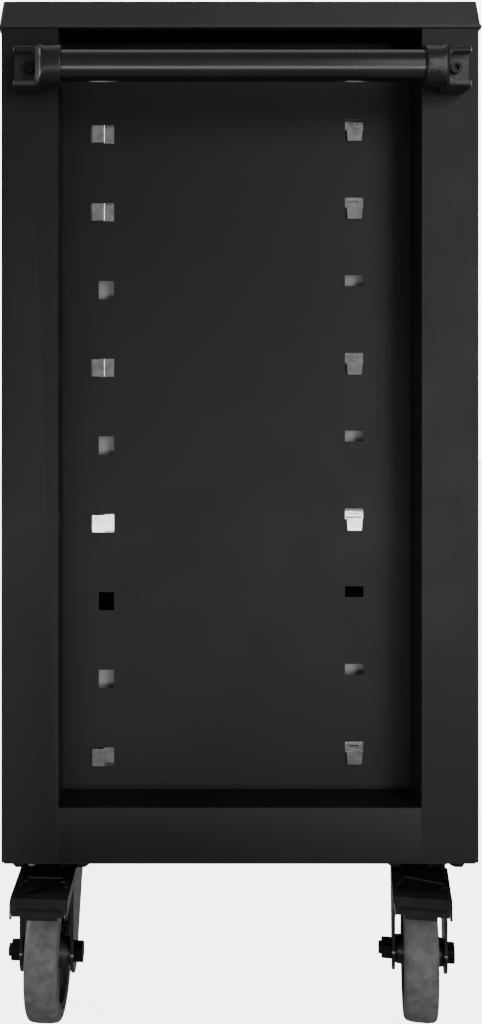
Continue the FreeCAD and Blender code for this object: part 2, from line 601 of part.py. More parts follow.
def brake_pedal(name, end, turn):
    """Pressed pedal: plate with a turned-down nose, side flanges, a brake shoe and two lugs on the pin."""
    body = new_body(name, x="castor_x", y=f"{end}*castor_y", turn=turn)
    top, nose = "pedal_top", "pedal_nose"
    plate = [("pedal_back", top), ("pedal_back", f"{top} - pedal_thick"),
             (f"{nose} - 2*pedal_thick", f"{top} - pedal_slope - pedal_thick"),
             (f"{nose} - pedal_thick", f"{top} - 9"), (f"{nose} - pedal_thick", f"{top} - pedal_drop"),
             (nose, f"{top} - pedal_drop"), (nose, f"{top} - 8"), (f"{nose} - 4", f"{top} - pedal_slope")]
    grow(body, "Y", "-pedal_half", "pedal_half", plate)
    flange = [("flange_start", f"{top} - 1"), ("flange_start", f"{top} - 10"),
              (f"{nose} - 14", f"{top} - 15"),
              (f"{nose} + 1", f"{top} - pedal_drop - 2"), (nose, f"{top} - 8"), (f"{nose} - 4", f"{top} - 4")]
    for low, high in (("pedal_half - pedal_thick", "pedal_half"),
                      ("-pedal_half", "-pedal_half + pedal_thick")):
        grow(body, "Y", low, high, flange)
    lug = [("pedal_pin_x - 1.5*pedal_pin", "pedal_pin_z"), ("pedal_pin_x - 1.5*pedal_pin", f"{top} - 1"),
           ("lug_end", f"{top} - 1"), ("pedal_pin_x + 1.5*pedal_pin", "pedal_pin_z - 1.25*pedal_pin"),
           ("pedal_pin_x", "pedal_pin_z - 1.5*pedal_pin")]
    shoe = [("shoe_x - 3", f"{top} - 4"), ("shoe_x + 2", f"{top} - shoe_knee"),
            ("shoe_x", f"{top} - shoe_drop + 1"), ("shoe_x + 2.5", f"{top} - shoe_drop"),
            ("shoe_x + 5", f"{top} - shoe_knee"), ("shoe_x", f"{top} - 4")]
    grow(body, "Y", "-shoe_half", "shoe_half", shoe)
    outer, inner = "leg_inside - lug_gap", "leg_inside - lug_gap - lug_plate"
    for low, high in ((inner, outer), (f"-({outer})", f"-({inner})")):
        grow(body, "Y", low, high, lug)
    grow(body, "Y", "-leg_inside - leg_thick", "leg_inside + leg_thick",
         ("round", "pedal_pin_x", "pedal_pin_z", "pedal_pin"))
    keep_part(body, name)


def axle(body):
    """Axle bolt through the legs, head at the rear and nut at the front."""
    outside = "(leg_inside + leg_thick)"
    grow(body, "Y", f"-{outside} - axle_nut - axle_spare", outside, ("round", "0", "0", "axle_radius"))
    grow(body, "Y", outside, f"{outside} + axle_head", hexagon("0", "0", "axle_flats"))
    grow(body, "Y", f"-{outside} - axle_nut", f"-{outside}", hexagon("0", "0", "axle_flats"))


def swivel_axle(name, x, y, turn):
    body = new_body(name, x=x, y=y, z="wheel_radius", turn=turn)
    axle(body)
    keep_part(body, name)


def fixed_axles():
    pair = []
    for end in (-1, 1):
        body = new_body("fixed_axle", x="(-castor_x)", y=f"{end}*castor_y", z="wheel_radius")
        axle(body)
        pair.append(body)
    keep_group(pair, "fixed_axles")


def fixed_brackets():
    """Pressed bracket of each fixed castor: top plate and two straight legs."""
    brackets = []
    for end in (-1, 1):
        body = new_body("fixed_bracket")
        castor_plate(body, -1, end)
        low_z = "wheel_radius"
        root = "body_low - base_thick - 1"
        leg = [("-castor_x - bracket_leg_half", root), ("-castor_x - leg_end + 1", f"{low_z} - 4"),
               ("-castor_x + leg_end - 1", f"{low_z} - 4"), ("-castor_x + bracket_leg_half", root)]
        for low, high in (("leg_inside", "leg_inside + leg_thick"),
                          ("-leg_inside - leg_thick", "-leg_inside")):
            start, stop = f"{end}*castor_y + {low}", f"{end}*castor_y + {high}"
            grow(body, "Y", start, stop, leg)
            grow(body, "Y", start, stop, ("round", "-castor_x", low_z, "leg_end"))
        cut(body, "Y", f"{end}*castor_y - 40", f"{end}*castor_y + 40",
            ("round", "-castor_x", low_z, "axle_radius"))
        brackets.append(body)
    keep_group(brackets, "fixed_castor_brackets")


def wheel_core(name, x, y, turn=None):
    """Moulded wheel centre: hub, web and rim."""
    body = new_body(name, x=x, y=y, z="wheel_radius", turn=turn)
    bore = "axle_radius + running_gap"
    spin(body, "Y", [("-hub_half", bore), ("-hub_half", "hub_radius - 3"), ("-15", "hub_radius"),
                     ("-5", "hub_radius + 2"), ("-4", "rim_radius - 8"),
                     ("-wheel_half + 1", "rim_radius - 5"), ("-wheel_half + 1", "rim_radius"),
                     ("wheel_half - 1", "rim_radius"),
                     ("wheel_half - 1", "rim_radius - 5"), ("4", "rim_radius - 8"), ("5", "hub_radius + 2"),
                     ("15", "hub_radius"), ("hub_half", "hub_radius - 3"), ("hub_half", bore)])
    keep_part(body, name)


def tyre(name, x, y, turn=None):
    """Solid rubber tread, crowned a little and rounded at its shoulders."""
    body = new_body(name, x=x, y=y, z="wheel_radius", turn=turn)
    spin(body, "Y", [("-wheel_half", "rim_radius"), ("-wheel_half", "wheel_radius - 5"),
                     ("-wheel_half + 1.5", "wheel_radius - 2.2"), ("-wheel_half + 4.5", "wheel_radius - 0.6"),
                     ("-6", "wheel_radius"), ("6", "wheel_radius"),
                     ("wheel_half - 4.5", "wheel_radius - 0.6"), ("wheel_half - 1.5", "wheel_radius - 2.2"),
                     ("wheel_half", "wheel_radius - 5"), ("wheel_half", "rim_radius")])
    keep_part(body, name)


# ---------------------------------------------------------------- the whole chest
def build():
    for name, side, end in (("front_left_post", -1, -1), ("front_right_post", 1, -1),
                            ("rear_left_post", -1, 1), ("rear_right_post", 1, 1)):
        post(name, side, end)
    side_panel("left_side_panel", -1)
    side_panel("right_side_panel", 1)
    back_panel()
    base_pan()
    front_rail("front_bottom_rail", "body_low", "bottom_rail_top", "rail_hem")
    front_rail("front_top_rail", "top_rail_low", "body_top", "rail_fold")
    worktop()
    top_mat()
    handle_tube()
    handle_bracket("handle_bracket_front", -1)
    handle_bracket("handle_bracket_rear", 1)
    handle_screws()
    cabinet_rails("left_cabinet_rails", -1)
    cabinet_rails("right_cabinet_rails", 1)
    for number, (first, last) in enumerate(DRAWERS, 1):
        drawer_box(number, first, last)
        drawer_front(number, first, last)
        runners(number, last)
        middle_rails(number, last)
    lock_housing()
    lock_plug()
    lock_rod()
    lock_bar()
    castor_bolts()
    swivel_plates()
    fixed_brackets()
    fixed_axles()
    for word, end in (("front", -1), ("rear", 1)):
        turn = f"{word}_turn"
        angle = math.radians(SIZES[turn])
        x = f"castor_x + trail*{math.cos(angle):.6f}"
        y = f"{end}*castor_y + trail*({math.sin(angle):.6f})"
        swivel_fork(f"swivel_fork_{word}", end, turn)
        brake_pedal(f"brake_pedal_{word}", end, turn)
        swivel_axle(f"swivel_axle_{word}", x, y, turn)
        wheel_core(f"swivel_wheel_core_{word}", x, y, turn)
        tyre(f"swivel_tyre_{word}", x, y, turn)
        wheel_core(f"fixed_wheel_core_{word}", "(-castor_x)", f"{end}*castor_y")
        tyre(f"fixed_tyre_{word}", "(-castor_x)", f"{end}*castor_y")


def check_and_export():
    for item in doc.Objects:
        if {"Invalid", "Error"} & set(item.State):
            raise RuntimeError(f"{item.Label} failed: {item.State}")
    for piece in subparts:
        if piece.Shape.isNull() or not piece.Shape.isValid():
            raise RuntimeError(f"{piece.Label} has no valid shape")
    os.makedirs("parts", exist_ok=True)
    for piece in subparts:
        piece.Shape.exportStep(f"parts/{piece.Label}.step")


make_sheet()
build()
doc.recompute()
check_and_export()
print(len(subparts), "sub-parts written")
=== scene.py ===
import json
import math

import bmesh
import bpy
from mathutils import Matrix, Vector

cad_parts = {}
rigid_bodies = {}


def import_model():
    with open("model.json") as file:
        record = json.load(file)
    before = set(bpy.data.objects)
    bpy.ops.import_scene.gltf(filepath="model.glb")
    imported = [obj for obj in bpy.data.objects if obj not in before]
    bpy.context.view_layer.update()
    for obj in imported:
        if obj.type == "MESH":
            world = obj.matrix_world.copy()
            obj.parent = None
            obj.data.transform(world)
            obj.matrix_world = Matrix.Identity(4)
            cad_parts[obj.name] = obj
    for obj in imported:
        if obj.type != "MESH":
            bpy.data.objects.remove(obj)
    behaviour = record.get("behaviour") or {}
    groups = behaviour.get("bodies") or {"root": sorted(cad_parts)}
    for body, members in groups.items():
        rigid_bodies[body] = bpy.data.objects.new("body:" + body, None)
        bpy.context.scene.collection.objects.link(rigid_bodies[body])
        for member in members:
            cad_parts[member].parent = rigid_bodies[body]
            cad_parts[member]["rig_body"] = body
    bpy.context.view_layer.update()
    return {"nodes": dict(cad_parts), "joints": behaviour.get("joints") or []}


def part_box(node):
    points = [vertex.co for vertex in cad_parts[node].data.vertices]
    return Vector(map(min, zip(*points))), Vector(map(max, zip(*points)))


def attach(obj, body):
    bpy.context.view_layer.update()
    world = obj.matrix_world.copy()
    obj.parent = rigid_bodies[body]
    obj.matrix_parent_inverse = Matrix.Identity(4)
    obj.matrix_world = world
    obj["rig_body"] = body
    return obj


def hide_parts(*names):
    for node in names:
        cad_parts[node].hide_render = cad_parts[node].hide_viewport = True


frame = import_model()


# Cabinet shell: four folded corner posts, two recessed end panels, back, floor and front rails.
# 1.2 mm cold-rolled steel, spot welded, then powder coated black in a fine satin texture.
# The press leaves a small radius on every fold, and the shears leave a just-broken edge.
FOLD_RADIUS = 0.0011
BROKEN_EDGE = 0.00025
NARROW_FACE = 0.006
FOLD_STEPS, EDGE_STEPS = 3, 2
SHARP_TURN = math.radians(48)
FLAT_TURN = math.radians(0.6)
SAME_POINT, NO_LENGTH = 2e-6, 5e-6
CLOUD_SIZE, GLOSS_SIZE, WAVE_SIZE = 0.16, 0.05, 0.006
WAVE_OVER_PEEL = 1.6
CABINET_BLACK = (0.0105, 0.0105, 0.0108, 1)
CABINET_BLACK_WORN = (0.0135, 0.0135, 0.0138, 1)


def new_finish(name):
    """A node material with object coordinates ready to drive its patterns."""
    finish = bpy.data.materials.new(name)
    finish.use_nodes = True
    tree = finish.node_tree
    shader = next(node for node in tree.nodes if node.type == "BSDF_PRINCIPLED")
    place = tree.nodes.new("ShaderNodeTexCoord").outputs["Object"]
    return finish, tree, shader, place


def mottle(tree, place, size, detail=3.0, stretch=(1, 1, 1)):
    """Noise with features of about the given size in metres, pulled out along an axis if asked."""
    mapping = tree.nodes.new("ShaderNodeMapping")
    mapping.inputs["Scale"].default_value = stretch
    noise = tree.nodes.new("ShaderNodeTexNoise")
    noise.inputs["Scale"].default_value = 1 / size
    noise.inputs["Detail"].default_value = detail
    tree.links.new(place, mapping.inputs["Vector"])
    tree.links.new(mapping.outputs["Vector"], noise.inputs["Vector"])
    return noise.outputs["Fac"]


def between(tree, amount, low, high, start=0.3, stop=0.7):
    """Spreads a noise over a range of roughness."""
    spread = tree.nodes.new("ShaderNodeMapRange")
    for socket, value in (("From Min", start), ("From Max", stop), ("To Min", low), ("To Max", high)):
        spread.inputs[socket].default_value = value
    tree.links.new(amount, spread.inputs["Value"])
    return spread.outputs["Result"]


def tinted(tree, amount, dark, light, start=0.35, stop=0.65):
    """Blends two shades by a noise."""
    ramp = tree.nodes.new("ShaderNodeValToRGB")
    ramp.color_ramp.elements[0].position = start
    ramp.color_ramp.elements[0].color = dark
    ramp.color_ramp.elements[1].position = stop
    ramp.color_ramp.elements[1].color = light
    tree.links.new(amount, ramp.inputs["Fac"])
    return ramp.outputs["Color"]


def raised(tree, shader, height, depth, strength=1.0, under=None):
    """Adds a bump of the given depth in metres, over an earlier one if there is one."""
    bump = tree.nodes.new("ShaderNodeBump")
    bump.inputs["Distance"].default_value = depth
    bump.inputs["Strength"].default_value = strength
    tree.links.new(height, bump.inputs["Height"])
    if under:
        tree.links.new(under, bump.inputs["Normal"])
    tree.links.new(bump.outputs["Normal"], shader.inputs["Normal"])
    return bump.outputs["Normal"]


def powder_coat(name, base, worn, rough, peel_size=0.0011, peel_depth=0.00006, sheen=0.28):
    """Baked powder: slight orange peel over a slow wave, and a slow cloudiness in shade and gloss."""
    finish, tree, shader, place = new_finish(name)
    cloud = mottle(tree, place, CLOUD_SIZE, 4)
    tree.links.new(tinted(tree, cloud, base, worn), shader.inputs["Base Color"])
    tree.links.new(between(tree, mottle(tree, place, GLOSS_SIZE, 5), *rough), shader.inputs["Roughness"])
    wave = raised(tree, shader, mottle(tree, place, WAVE_SIZE, 2), peel_depth * WAVE_OVER_PEEL, 0.35)
    raised(tree, shader, mottle(tree, place, peel_size, 2), peel_depth, 0.7, wave)
    shader.inputs["Specular IOR Level"].default_value = sheen
    return finish


def eased(node, fold, broken, narrow=NARROW_FACE, first=None):
    """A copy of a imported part, shaped first if asked, with its folds rounded and cut edges broken."""
    made = bmesh.new()
    made.from_mesh(frame["nodes"][node].data)
    bmesh.ops.remove_doubles(made, verts=made.verts, dist=SAME_POINT)
    bmesh.ops.dissolve_limit(made, angle_limit=FLAT_TURN, verts=made.verts, edges=made.edges)
    bmesh.ops.dissolve_degenerate(made, edges=made.edges, dist=NO_LENGTH)
    if first:
        first(made)
    for radius, wide, steps in ((fold, True, FOLD_STEPS), (broken, False, EDGE_STEPS)):
        chosen = []
        for edge in made.edges:
            if not edge.is_manifold or edge.calc_face_angle(0) < SHARP_TURN:
                continue
            length = max(edge.calc_length(), 2 * NO_LENGTH)
            width = min(face.calc_area() for face in edge.link_faces) / length
            if (width > narrow) == wide:
                chosen.append(edge)
        if chosen and radius:
            bmesh.ops.bevel(made, geom=chosen, offset=radius, offset_type="OFFSET", segments=steps,
                            profile=0.5, affect="EDGES", clamp_overlap=True, material=-1)
    return made


def set_piece(name, made, finish, body, stands_for=(), crease=38):
    """Puts a shaped mesh into the scene as one piece of the chest."""
    mesh = bpy.data.meshes.new(name)
    made.to_mesh(mesh)
    made.free()
    if "custom_normal" in mesh.attributes:
        mesh.attributes.remove(mesh.attributes["custom_normal"])
    mesh.polygons.foreach_set("use_smooth", [True] * len(mesh.polygons))
    mesh.set_sharp_from_angle(angle=math.radians(crease))
    mesh.materials.append(finish)
    piece = bpy.data.objects.new(name, mesh)
    bpy.context.scene.collection.objects.link(piece)
    even = piece.modifiers.new("Even shading", "WEIGHTED_NORMAL")
    even.keep_sharp = True
    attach(piece, body)
    if stands_for:
        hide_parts(*stands_for)
    return piece


def finish_part(node, finish, slot, fold=FOLD_RADIUS, broken=BROKEN_EDGE, **shape):
    """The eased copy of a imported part, in its finish, standing for that part."""
    made = eased(node, fold, broken, **shape)
    return set_piece(f"{node}_coated", made, finish, frame["nodes"][node]["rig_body"], [node])


cabinet_coat = powder_coat("Cabinet satin black powder", CABINET_BLACK, CABINET_BLACK_WORN, (0.44, 0.52))
for node in ("front_left_post", "front_right_post", "rear_left_post", "rear_right_post",
             "left_side_panel", "right_side_panel", "back_panel", "base_pan",
             "front_bottom_rail", "front_top_rail"):
    finish_part(node, cabinet_coat, "cabinet_paint")


# Worktop: one moulding in charcoal ABS with a down-turned lip and a sunk top.
# Its outside is spark-eroded to a fine leather-like grain, greyer and duller than the steel.
# It drops over the cabinet and is screwed up from inside the top.
WORKTOP_GREY = (0.023, 0.023, 0.0235, 1)
WORKTOP_RUBBED = (0.030, 0.030, 0.0305, 1)

worktop_plastic, tree, shader, place = new_finish("Worktop grained charcoal plastic")
tree.links.new(tinted(tree, mottle(tree, place, 0.12, 4), WORKTOP_GREY, WORKTOP_RUBBED),
               shader.inputs["Base Color"])
tree.links.new(between(tree, mottle(tree, place, 0.03, 4), 0.44, 0.58), shader.inputs["Roughness"])
raised(tree, shader, mottle(tree, place, 0.0009, 3), 0.00007, 0.8)
finish_part("worktop", worktop_plastic, "worktop", fold=0.0016, broken=0.0008, narrow=0.004)


# Rubber mats: the sheet that lies in the sunk top, and a thinner liner in every drawer.
# Black nitrile rubber, calendered with fine ribs along the depth of the chest and cut to size.
# They are laid in loose and held by their own grip.
RIB_PITCH = 0.005
RIB_HEIGHT = 0.0008
MAT_BLACK = (0.018, 0.018, 0.018, 1)
MAT_DUSTY = (0.032, 0.031, 0.030, 1)

mat_rubber, tree, shader, place = new_finish("Ribbed black rubber")
dust = tinted(tree, mottle(tree, place, 0.05, 5), MAT_BLACK, MAT_DUSTY)
tree.links.new(dust, shader.inputs["Base Color"])
tree.links.new(between(tree, mottle(tree, place, 0.01, 4), 0.55, 0.75), shader.inputs["Roughness"])
raised(tree, shader, mottle(tree, place, 0.0006, 2), 0.00005, 0.8)


def ribbed_mat(name, low, high, body, stands_for=()):
    """A sheet between two corners, with every second strip of its top raised as a rib."""
    size, middle = high - low, (low + high) / 2
    strips = 2 * round(size.x / RIB_PITCH)
    made = bmesh.new()
    bmesh.ops.create_grid(made, x_segments=strips, y_segments=1, size=0.5,
                          matrix=Matrix.Translation((middle.x, middle.y, low.z))
                          @ Matrix.Diagonal((size.x, size.y, 1, 1)))
    bottom = list(made.faces)
    top = bmesh.ops.extrude_face_region(made, geom=bottom)["geom"]
    lifted = [part for part in top if isinstance(part, bmesh.types.BMVert)]
    bmesh.ops.translate(made, vec=(0, 0, size.z - RIB_HEIGHT), verts=lifted)
    underside = [face for face in made.faces if face.calc_center_median().z < low.z + SAME_POINT / 2]
    bmesh.ops.reverse_faces(made, faces=underside)
    upper = sorted((part for part in top if isinstance(part, bmesh.types.BMFace)),
                   key=lambda face: face.calc_center_median().x)
    ribs = bmesh.ops.extrude_discrete_faces(made, faces=upper[1:-1:2])["faces"]
    raised_verts = list({vert for face in ribs for vert in face.verts})
    bmesh.ops.translate(made, vec=(0, 0, RIB_HEIGHT), verts=raised_verts)
    bmesh.ops.recalc_face_normals(made, faces=made.faces)
    return set_piece(name, made, mat_rubber, body, stands_for)


ribbed_mat("top_mat_ribbed", *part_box("top_mat"), "cabinet", ["top_mat"])


# Push handle tube: 30 mm steel tube, coated in a glossier black than the cabinet.
# It is plugged into the two end brackets and runs the depth of the right-hand end.
TUBE_BLACK = (0.0045, 0.0045, 0.0048, 1)
TUBE_HANDLED = (0.0070, 0.0070, 0.0073, 1)
tube_coat = powder_coat("Handle gloss black powder", TUBE_BLACK, TUBE_HANDLED, (0.24, 0.30),
                        peel_size=0.0014, peel_depth=0.00002, sheen=1.0)
finish_part("handle_tube", tube_coat, "tube_paint")


# Handle brackets: one casting at each end of the tube, a round collar that swells into a block.
# Die-cast zinc in a coarse black crackle coat. The block is hollowed from its face and its outer
# end, and a socket screw in the floor of that pocket holds it to the corner post.
BRACKET_BLACK = (0.009, 0.009, 0.009, 1)
BRACKET_RUBBED = (0.022, 0.022, 0.022, 1)
# distance out along the tube, middle and half size out from the post, half height, squareness
BRACKET_STATIONS = (
    (0.1690, 0.0320, 0.0176, 0.0176, 2.0), (0.1693, 0.0320, 0.0186, 0.0186, 2.0),
    (0.1702, 0.0320, 0.0190, 0.0190, 2.0), (0.1760, 0.0318, 0.0190, 0.0188, 2.0),
    (0.1810, 0.0308, 0.0191, 0.0187, 2.0), (0.1850, 0.0300, 0.0193, 0.0188, 2.2),
    (0.1875, 0.0292, 0.0195, 0.0191, 2.8), (0.1895, 0.0258, 0.0195, 0.0195, 4.0),
    (0.1912, 0.0215, 0.0186, 0.0198, 5.5), (0.1940, 0.0172, 0.0166, 0.0199, 7.0),
    (0.2130, 0.0168, 0.0165, 0.0199, 8.0), (0.2141, 0.0167, 0.0162, 0.0197, 8.0),
    (0.2145, 0.0166, 0.0156, 0.0191, 8.0))
BRACKET_POINTS = 64
POCKET_WALL = 0.0060
POCKET_FLOOR = 0.0210
POCKET_START = 0.1938
POCKET_CORNER = 0.0060
POCKET_REACH, POCKET_LENGTH = 0.10, 0.060
MOUTH_STATION = -3
RIM_EASE = 0.0011

bracket_coat, tree, shader, place = new_finish("Bracket crackle black")
crackle = tinted(tree, mottle(tree, place, 0.0022, 3), BRACKET_BLACK, BRACKET_RUBBED)
tree.links.new(crackle, shader.inputs["Base Color"])
tree.links.new(between(tree, mottle(tree, place, 0.004, 4), 0.26, 0.46), shader.inputs["Roughness"])
raised(tree, shader, mottle(tree, place, 0.0014, 3), 0.00030, 0.9)

post_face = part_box("right_side_panel")[1].x
handle_low, handle_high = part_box("handle_tube")
handle_height = (handle_low.z + handle_high.z) / 2


def bracket_ring(made, end, station):
    """One ring of the casting: round by the tube, nearly square over the pocket."""
    along, middle, half_out, half_up, square = station
    ring = bmesh.ops.create_circle(made, segments=BRACKET_POINTS, radius=1)["verts"]
    for vert in ring:
        turn = math.atan2(vert.co.y, vert.co.x)
        out = math.copysign(abs(math.cos(turn)) ** (2 / square), math.cos(turn))
        up = math.copysign(abs(math.sin(turn)) ** (2 / square), math.sin(turn))
        vert.co = (post_face + middle + half_out * out, end * along, handle_height + half_up * up)
    return [edge for edge in made.edges if edge.verts[0] in ring and edge.verts[1] in ring]


def handle_bracket(word, end):
    """One casting, lofted through its rings, with its pocket cut and the rims of the pocket eased."""
    casting = bmesh.new()
    rings = [bracket_ring(casting, end, station) for station in BRACKET_STATIONS]
    for near, far in zip(rings, rings[1:]):
        bmesh.ops.bridge_loops(casting, edges=near + far)
    for rim in (rings[0], rings[-1]):
        bmesh.ops.edgeloop_fill(casting, edges=rim)
    bmesh.ops.recalc_face_normals(casting, faces=casting.faces)
    cutter = bmesh.new()
    height = 2 * (BRACKET_STATIONS[MOUTH_STATION][3] - POCKET_WALL)
    pocket_middle = Vector((post_face + POCKET_FLOOR + POCKET_REACH / 2,
                            end * (POCKET_START + POCKET_LENGTH / 2), handle_height))
    bmesh.ops.create_cube(cutter, size=1, matrix=Matrix.Translation(pocket_middle)
                          @ Matrix.Diagonal((POCKET_REACH, POCKET_LENGTH, height, 1)))
    corners = [edge for edge in cutter.edges
               if abs((edge.verts[0].co - edge.verts[1].co).normalized().x) > 0.9
               and abs(edge.verts[0].co.y - end * POCKET_START) < 1e-5]
    bmesh.ops.bevel(cutter, geom=corners, offset=POCKET_CORNER, offset_type="OFFSET", segments=6,
                    profile=0.5, affect="EDGES", material=-1)
    shapes = []
    for shape in (casting, cutter):
        mesh = bpy.data.meshes.new("bracket shape")
        shape.to_mesh(mesh)
        shape.free()
        shapes.append(bpy.data.objects.new("bracket_shape", mesh))
        bpy.context.scene.collection.objects.link(shapes[-1])
    hollow = shapes[0].modifiers.new("Pocket", "BOOLEAN")
    hollow.object = shapes[1]
    hollow.operation = "DIFFERENCE"
    hollow.solver = "EXACT"
    bpy.context.view_layer.update()
    cast = bmesh.new()
    cast.from_mesh(shapes[0].evaluated_get(bpy.context.evaluated_depsgraph_get()).to_mesh())
    for shape in shapes:
        bpy.data.objects.remove(shape)
    bmesh.ops.remove_doubles(cast, verts=cast.verts, dist=1e-6)
    rims = [edge for edge in cast.edges if edge.is_manifold and edge.calc_face_angle(0) > math.radians(50)
            and abs(edge.verts[0].co.y) > POCKET_START - 0.0005]
    bmesh.ops.bevel(cast, geom=rims, offset=RIM_EASE, offset_type="OFFSET", segments=FOLD_STEPS,
                    profile=0.5, affect="EDGES", clamp_overlap=True, material=-1)
    set_piece(f"handle_bracket_{word}_cast", cast, bracket_coat, "cabinet",
              [f"handle_bracket_{word}"], crease=45)


handle_bracket("front", -1)
handle_bracket("rear", 1)


# Screws, bolts and axles: standard M8 and M12 fasteners, cold headed and turned from steel bar.
# They are plated in darkened zinc, and hold the handle brackets, the castors and the wheels.
SCREW_STEEL = (0.034, 0.034, 0.036, 1)
SCREW_SHADE = (0.016, 0.016, 0.017, 1)


def plated_steel(name, light, shade, rough, streak=(1, 1, 1), size=0.004):
    """Zinc-plated steel: slow spangle in the shade, fine drawn streaks, a little haze."""
    finish, tree, shader, place = new_finish(name)
    tree.links.new(tinted(tree, mottle(tree, place, size, 4), shade, light), shader.inputs["Base Color"])
    haze = between(tree, mottle(tree, place, size / 3, 4, streak), *rough)
    tree.links.new(haze, shader.inputs["Roughness"])
    raised(tree, shader, mottle(tree, place, 0.0008, 3, streak), 0.00003, 0.6)
    shader.inputs["Metallic"].default_value = 1.0
    return finish


fastener_zinc = plated_steel("Darkened zinc fasteners", SCREW_STEEL, SCREW_SHADE, (0.28, 0.42))
for node in ("handle_screws", "castor_bolts"):
    finish_part(node, fastener_zinc, "zinc_screw", fold=0.0005, broken=0.0004, narrow=0.0022)
for node in ("fixed_axles", "swivel_axle_front", "swivel_axle_rear"):
    finish_part(node, fastener_zinc, "zinc_screw", fold=0.0016, broken=0.0010, narrow=0.0022)


# Drawer slides: three-member ball slides, 45 mm high, bright zinc plated.
# The outer member hangs in the end panel by a hook in front and a tab behind, which show outside.
# The balls run in a pressed cage between the middle member and each of the others.
SLIDE_LIGHT = (0.80, 0.80, 0.81, 1)
SLIDE_SHADE = (0.58, 0.58, 0.60, 1)
HOOK_ROUND = 0.0024
HOOK_TALL = 0.015
HOOK_OUTER = 0.0005

slide_zinc = plated_steel("Bright zinc slides", SLIDE_LIGHT, SLIDE_SHADE, (0.07, 0.16), (1, 0.15, 1), 0.008)


def curl_hooks(made):
    """Rounds the outer upright edges of the hooks that stand out of the slots."""
    middle = sum(vert.co.x for vert in made.verts) / len(made.verts)
    reach = max(abs(vert.co.x - middle) for vert in made.verts) - HOOK_OUTER
    chosen = [edge for edge in made.edges if edge.is_manifold
              and abs(edge.verts[0].co.z - edge.verts[1].co.z) > HOOK_TALL
              and all(abs(vert.co.x - middle) > reach for vert in edge.verts)]
    if chosen:
        bmesh.ops.bevel(made, geom=chosen, offset=HOOK_ROUND, offset_type="OFFSET", segments=6,
                        profile=0.5, affect="EDGES", clamp_overlap=True, material=-1)


rail_edges = {"fold": 0.0006, "broken": 0.00025, "narrow": 0.002}
for node in ("left_cabinet_rails", "right_cabinet_rails"):
    finish_part(node, slide_zinc, "slide_zinc", **rail_edges, first=curl_hooks)
for number in range(1, 6):
    for member in ("middle_rails", "runners"):
        finish_part(f"drawer_{number}_{member}", slide_zinc, "slide_zinc", **rail_edges)


# Drawers: light grey coated trays folded from 1 mm steel, each with a lock lug behind.
# Black fronts, folded with a finger channel and lip along the top, are screwed on from inside.
DRAWER_GREY = (0.46, 0.47, 0.48, 1)
DRAWER_SOILED = (0.38, 0.39, 0.40, 1)
LINER_THICK = 0.0022
LINER_GAP = 0.0015
TRAY_SHEET = 0.0010
LUG_ROOM = 0.005

drawer_coat = powder_coat("Drawer light grey powder", DRAWER_GREY, DRAWER_SOILED, (0.36, 0.50))
front_coat = powder_coat("Drawer front black powder", CABINET_BLACK, CABINET_BLACK_WORN, (0.30, 0.42))

for number in range(1, 6):
    finish_part(f"drawer_{number}_box", drawer_coat, "drawer_grey", fold=0.0009)
    finish_part(f"drawer_{number}_front", front_coat, "front_paint", fold=0.0010)
    low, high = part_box(f"drawer_{number}_box")
    inset = TRAY_SHEET + LINER_GAP
    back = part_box("left_cabinet_rails")[1].y - LUG_ROOM
    near = low + Vector((inset, inset, TRAY_SHEET))
    far = Vector((high.x - inset, back - inset, low.z + TRAY_SHEET + LINER_THICK))
    ribbed_mat(f"drawer_{number}_liner", near, far, f"drawer_{number}")


# Central lock: nickel collar and plug in the top rail, then a zinc rod to the rear.
# The rod's crank lifts a flat bar whose hooks catch a lug behind each drawer.
LOCK_NICKEL = (0.78, 0.76, 0.72, 1)
LOCK_TARNISH = (0.60, 0.58, 0.55, 1)

lock_nickel = plated_steel("Nickel lock", LOCK_NICKEL, LOCK_TARNISH, (0.12, 0.22), size=0.003)
for node in ("lock_housing", "lock_plug"):
    finish_part(node, lock_nickel, "lock_chrome", fold=0.0006, broken=0.0003, narrow=0.0022)
lock_zinc = plated_steel("Zinc lock bar", SLIDE_LIGHT, SLIDE_SHADE, (0.24, 0.40), (1, 1, 0.15))
for node in ("lock_rod", "lock_bar"):
    finish_part(node, lock_zinc, "lock_zinc", fold=0.0005, broken=0.0003, narrow=0.002)


# Castor steelwork: top plates, races, forks and brake pedals pressed from 3 mm steel.
# Black electrophoretic dip, glossier than the powder coat and showing the press marks.
CASTOR_BLACK = (0.007, 0.007, 0.007, 1)
CASTOR_SCUFFED = (0.018, 0.018, 0.019, 1)
# way it faces, margin, depth and least area of each sunk panel, and whether its margin is kept even
PEDAL_PANELS = (("nose", 0.0030, 0.0018, 0.0004, True), ("top", 0.0050, 0.0010, 0.0015, False))
FACING = 0.99

castor_dip, tree, shader, place = new_finish("Castor gloss black dip")
tree.links.new(tinted(tree, mottle(tree, place, 0.012, 5), CASTOR_BLACK, CASTOR_SCUFFED, 0.45, 0.75),
               shader.inputs["Base Color"])
tree.links.new(between(tree, mottle(tree, place, 0.008, 5), 0.10, 0.24), shader.inputs["Roughness"])
raised(tree, shader, mottle(tree, place, 0.006, 3), 0.00022, 0.6)
shader.inputs["Specular IOR Level"].default_value = 0.9
pressed_edges = {"fold": 0.0010, "broken": 0.0006, "narrow": 0.0035}
for node in ("swivel_plates", "fixed_castor_brackets", "swivel_fork_front", "swivel_fork_rear"):
    finish_part(node, castor_dip, "castor_black", **pressed_edges)


